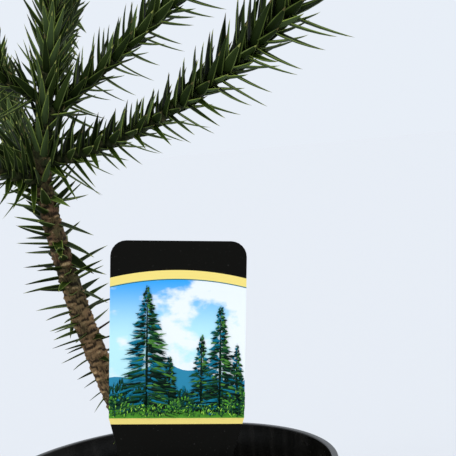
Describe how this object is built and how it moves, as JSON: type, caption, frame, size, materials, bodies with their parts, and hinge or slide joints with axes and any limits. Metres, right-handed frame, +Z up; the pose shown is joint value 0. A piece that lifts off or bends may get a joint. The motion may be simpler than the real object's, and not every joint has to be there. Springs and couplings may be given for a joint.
{
  "type": "monkey puzzle seedling",
  "caption": "Young monkey puzzle tree with a bowed leaning stem, whorls of spiky evergreen branches, a black nursery pot of potting mix and a plain plant label.",
  "frame": {"origin": "centre of the pot's flat underside", "axes": "+Z up through the pot's axis, -Y towards the front, the side that the label faces, +X to the right of that front"},
  "size_m": [0.3876, 0.3616, 0.5807],
  "materials": {
    "pot_plastic": "thin black moulded nursery-pot plastic with a satin sheen",
    "potting_mix": "damp dark brown peat and bark crumbs",
    "label_print": "glossy printed plastic card, black with cream yellow bands round a plain landscape panel",
    "bark": "rough brown scaly bark with old leaf bases",
    "leaf": "stiff dark green leathery leaves with pale margins and brown spine tips"
  },
  "bodies": {
    "root": {"pot": "pot_plastic", "potting_mix": "potting_mix", "plant_label": "label_print", "trunk": "bark", "bough_low_1": "bark", "bough_low_2": "bark", "bough_low_3": "bark", "bough_low_4": "bark", "bough_mid_1": "bark", "bough_mid_2": "bark", "bough_mid_3": "bark", "bough_top_1": "bark", "bough_top_2": "bark", "bough_top_3": "bark", "bough_top_4": "bark", "foliage_low_1": "leaf", "foliage_low_2": "leaf", "foliage_low_3": "leaf", "foliage_low_4": "leaf", "foliage_mid_1": "leaf", "foliage_mid_2": "leaf", "foliage_mid_3": "leaf", "foliage_top_1": "leaf", "foliage_top_2": "leaf", "foliage_top_3": "leaf", "foliage_top_4": "leaf", "stem_leaves_lower": "leaf", "stem_leaves_upper": "leaf", "leader_leaves": "leaf", "leader_tip_leaves": "leaf"}
  },
  "joints": []
}
